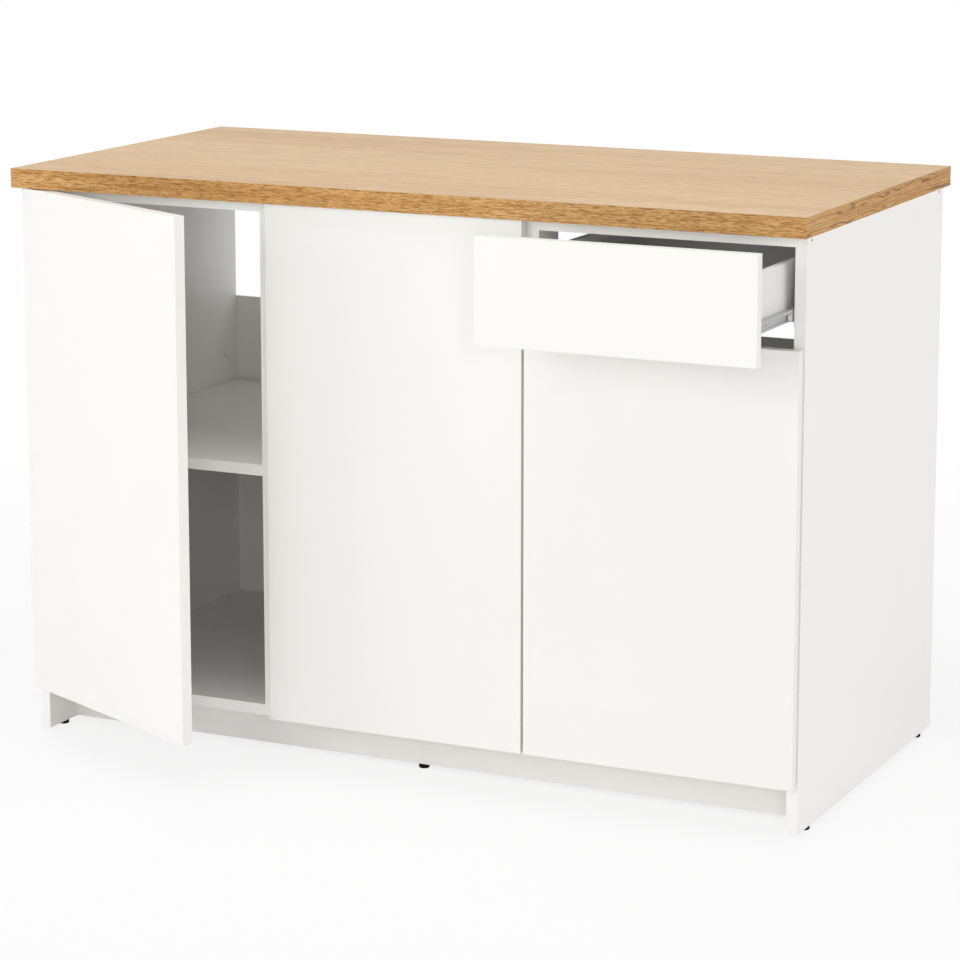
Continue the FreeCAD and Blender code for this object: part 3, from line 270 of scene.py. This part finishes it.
MELAMINES = {
    "white_front": {
        "colour": (0.899, 0.888, 0.858), "shade": (0.884, 0.873, 0.844), "roughness": 0.36, "shine": 0.65,
    },
    # the carcass boards are the same white melamine as the fronts; their lighter colour is painted light
    # that lifts the shaded inside of the carcass
    "white_board": {"colour": (0.934, 0.922, 0.893), "shade": (0.919, 0.907, 0.879), "roughness": 0.42},
    "white_hardboard": {
        "colour": (0.888, 0.873, 0.841), "shade": (0.869, 0.854, 0.823), "roughness": 0.5, "grain": 500.0,
    },
    "grey_board": {"colour": (0.74, 0.735, 0.72), "shade": (0.72, 0.715, 0.70), "roughness": 0.48},
}

# marks to the metre on each axis
ALONG_RAIL = (300.0, 20.0, 300.0)
ROUND_SHANK = (900.0, 900.0, 60.0)
STEELS = {
    "white_steel": {
        "colour": (0.84, 0.833, 0.812), "shade": (0.81, 0.803, 0.783),
        "roughness": 0.4, "metallic": 0.0, "streak": ALONG_RAIL,
    },
    # partly the runners' own zinc grey and partly painted shade: made darker to stand for the shadow
    # under the rail's flange
    "galvanised_steel": {
        "colour": (0.5, 0.5, 0.49), "shade": (0.43, 0.43, 0.42),
        "roughness": 0.42, "metallic": 0.0, "streak": ALONG_RAIL,
    },
    "nickel_steel": {
        "colour": (0.66, 0.66, 0.64), "shade": (0.58, 0.58, 0.57),
        "roughness": 0.32, "metallic": 1.0, "streak": ROUND_SHANK,
    },
}

PLASTICS = {
    "black_plastic": {
        "colour": (0.006, 0.006, 0.006), "shade": (0.004, 0.004, 0.004), "roughness": 0.6, "shine": 0.05,
    },
    "pale_plastic": {
        "colour": (0.85, 0.85, 0.83), "shade": (0.81, 0.81, 0.79), "roughness": 0.45, "shine": 0.5,
    },
    # painted shade: a near-black material laid in the screws' driver sockets, where there is only shade
    "dark_socket": {
        "colour": (0.012, 0.012, 0.012), "shade": (0.008, 0.008, 0.008), "roughness": 0.6, "shine": 0.05,
    },
}

KINDS = ((melamine, MELAMINES), (oak, WOODS), (steel, STEELS), (moulded, PLASTICS))
FINISHES = {name: make(name, **look) for make, looks in KINDS for name, look in looks.items()}

for part in frame["record"]["subparts"]:
    target = nodes[part["node"]]
    target.data.materials.clear()
    target.data.materials.append(FINISHES[part["material_slot"]])


def shade_sockets(name, depth=0.0018, reach=0.00195, skin=0.00005):
    """Paint shade into the driver sockets of the screws in the side panels, while their heads stay white.
    """
    mesh = nodes[name].data
    mesh.materials.append(FINISHES["dark_socket"])
    low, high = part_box(name)
    head_radius = (high[2] - low[2]) / 2.0
    height = (high[2] + low[2]) / 2.0
    rows = (low[1] + head_radius, high[1] - head_radius)
    for face in mesh.polygons:
        x, y, z = face.center
        inward = min(x - low[0], high[0] - x)
        off_axis = min(math.hypot(y - row, z - height) for row in rows)
        # faces on the walls and floor of each socket take the painted shade
        if skin < inward < depth + skin and off_axis < reach:
            face.material_index = 1


shade_sockets("rail_screws")


# floor, background, light and camera, in metres, watts and degrees

FLOOR_REACH = 14.0
# the share of plain white near the object and far from it, and the distances between which it grows
FLOOR_FADE = {"low": 0.8, "high": 1.0, "start": 0.9, "end": 2.4}
WORLD_LIGHT = 0.465

MIDDLE = (0.0, 0.2, 0.45)
WORKTOP = (0.0, 0.1, 0.85)
# place, aim, width and height, and power
LAMPS = {
    "left_softbox": ((-6.2, -3.8, 1.6), MIDDLE, (3.5, 3.0), 86.0),
    "key_softbox": ((-1.1, -4.6, 2.1), MIDDLE, (2.4, 2.0), 45.0),
    "front_softbox": ((3.1, -6.0, 1.7), MIDDLE, (2.0, 2.0), 70.0),
    "right_softbox": ((5.9, 1.1, 1.6), MIDDLE, (3.5, 3.0), 76.0),
    "top_softbox": ((0.0, -0.4, 3.4), WORKTOP, (2.6, 2.2), 35.0),
}

CAMERA_PLACE = (2.0706, -4.1670, 1.4422)
CAMERA_TILT = 90.0 - 10.376
CAMERA_TURN = 25.433


def seen_rays(tree):
    """1 for what is seen, also in gloss or through glass, and 0 for what only lights the object."""
    path = tree.nodes.new("ShaderNodeLightPath")
    seen = path.outputs["Is Camera Ray"]
    for ray in ("Is Glossy Ray", "Is Transmission Ray"):
        either = tree.nodes.new("ShaderNodeMath")
        either.operation = "MAXIMUM"
        tree.links.new(seen, either.inputs[0])
        tree.links.new(path.outputs[ray], either.inputs[1])
        seen = either.outputs["Value"]
    return seen


def blend_shaders(tree, share, first, second, output):
    blend = tree.nodes.new("ShaderNodeMixShader")
    for socket, source in zip(blend.inputs, (share, first, second)):
        tree.links.new(source, socket)
    tree.links.new(blend.outputs["Shader"], tree.nodes[output].inputs["Surface"])


def make_floor():
    """A pale floor that keeps the shadow and fades to plain white, so that no far edge shows."""
    mesh = bpy.data.meshes.new("floor")
    grid = bmesh.new()
    bmesh.ops.create_grid(grid, x_segments=1, y_segments=1, size=FLOOR_REACH)
    grid.to_mesh(mesh)
    grid.free()
    floor = bpy.data.objects.new("floor", mesh)
    scene.collection.objects.link(floor)
    surface = Surface("floor_paint", (0.9, 0.9, 0.9), roughness=0.9)
    distance = surface.node("ShaderNodeVectorMath", operation="LENGTH")
    surface.link(surface.place, distance.inputs[0])
    fade = surface.spread(distance.outputs["Value"], **FLOOR_FADE)
    share = surface.maths("MULTIPLY", seen_rays(surface.tree), fade)
    glow = surface.node("ShaderNodeEmission", {"Color": (*WHITE, 1.0), "Strength": 1.0})
    paint = surface.shader.outputs["BSDF"]
    blend_shaders(surface.tree, share, paint, glow.outputs["Emission"], "Material Output")
    mesh.materials.append(surface.material)


def make_world():
    """A white background, and softer light on the object from all round."""
    world = bpy.data.worlds.new("studio")
    scene.world = world
    world.use_nodes = True
    tree = world.node_tree
    soft = tree.nodes["Background"]
    white = tree.nodes.new("ShaderNodeBackground")
    for background, strength in ((soft, WORLD_LIGHT), (white, 1.0)):
        background.inputs["Color"].default_value = (*WHITE, 1.0)
        background.inputs["Strength"].default_value = strength
    backgrounds = (soft.outputs["Background"], white.outputs["Background"])
    blend_shaders(tree, seen_rays(tree), *backgrounds, "World Output")


def make_lamp(name, place, aim, size, power):
    data = bpy.data.lights.new(name, "AREA")
    data.shape = "RECTANGLE"
    data.size, data.size_y = size
    data.energy = power
    lamp = bpy.data.objects.new(name, data)
    lamp.location = place
    lamp.rotation_euler = (Vector(aim) - Vector(place)).to_track_quat("-Z", "Y").to_euler()
    scene.collection.objects.link(lamp)


def make_camera():
    data = bpy.data.cameras.new("photo_camera")
    data.sensor_fit = "HORIZONTAL"
    data.sensor_width = 36.0
    data.lens = 125.543
    data.shift_y = -0.1198
    camera = bpy.data.objects.new("photo_camera", data)
    camera.location = CAMERA_PLACE
    camera.rotation_euler = (math.radians(CAMERA_TILT), 0.0, math.radians(CAMERA_TURN))
    scene.collection.objects.link(camera)
    scene.camera = camera


make_floor()
make_world()
for name, settings in LAMPS.items():
    make_lamp(name, *settings)
make_camera()
scene.view_settings.view_transform = "Standard"
